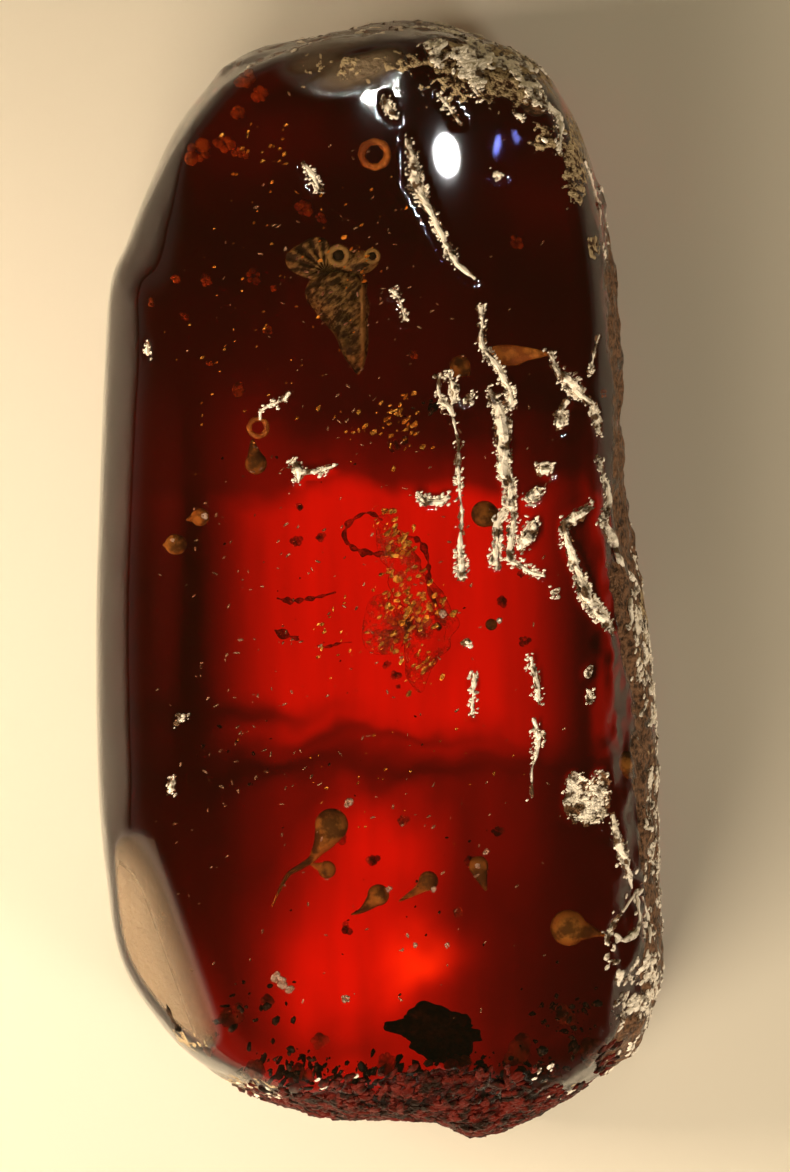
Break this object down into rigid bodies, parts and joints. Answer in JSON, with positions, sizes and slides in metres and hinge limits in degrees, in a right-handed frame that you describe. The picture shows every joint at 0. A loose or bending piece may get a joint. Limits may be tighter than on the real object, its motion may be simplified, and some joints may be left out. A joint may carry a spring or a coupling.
{
  "type": "insect in amber",
  "caption": "Oblong polished piece of dark red amber with a rough natural rind on its edges, two insects and a flake of bark sealed inside, lying on its flat back.",
  "frame": {"origin": "centre of the footprint on the resting face, the flat back of the stone", "axes": "+Z out of the polished face, +Y along the stone's length to the end by the small insect, +X to the right seen from above"},
  "size_m": [0.0235, 0.0461, 0.0122],
  "materials": {
    "amber": "clear dark red amber, polished, with pale rough rind at its edges",
    "wedge_insect": "dull mottled olive brown",
    "gold_insect": "broken brown shell with gold glints",
    "bark": "charred black bark"
  },
  "bodies": {
    "root": {"amber_front": "amber", "amber_back": "amber", "wedge_insect": "wedge_insect", "gold_insect": "gold_insect", "bark_flake": "bark"}
  },
  "joints": []
}
